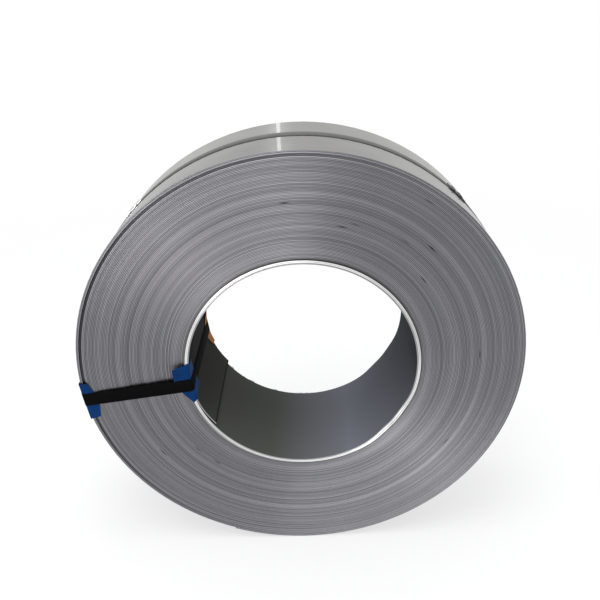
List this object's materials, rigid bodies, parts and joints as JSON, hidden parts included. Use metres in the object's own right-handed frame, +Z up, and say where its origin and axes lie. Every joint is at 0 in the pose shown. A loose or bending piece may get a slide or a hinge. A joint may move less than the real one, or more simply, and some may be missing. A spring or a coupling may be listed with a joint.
{
  "type": "steel coil",
  "caption": "Slit steel strip wound into a coil with an open bore, standing on its rim, tied by a steel band round the rim and a band through the eye over bent corner guards.",
  "frame": {"origin": "on the floor below the middle of the coil, where the rim's band rests", "axes": "+Y along the coil's axis from its front end to its rear end, +Z up"},
  "size_m": [1.0089, 0.2616, 1.0091],
  "materials": {
    "strip_steel": "cold rolled, with the slit edges of its turns on both ends",
    "strap_grey": "worn grey steel strapping",
    "strap_black": "black painted steel strapping",
    "seal_bright": "bright zinc plated, crimped",
    "seal_dark": "dark painted, crimped",
    "guard_blue": "blue painted sheet",
    "guard_orange": "orange painted sheet"
  },
  "bodies": {
    "root": {"strip_coil": "strip_steel", "girth_strap": "strap_grey", "girth_seal_left": "seal_bright", "girth_seal_right": "seal_dark", "eye_strap": "strap_black", "eye_strap_seal": "seal_dark", "corner_guard_front_outer": "guard_blue", "corner_guard_front_inner": "guard_blue", "corner_guard_rear_inner": "guard_orange", "corner_guard_rear_outer": "guard_orange"}
  },
  "joints": []
}
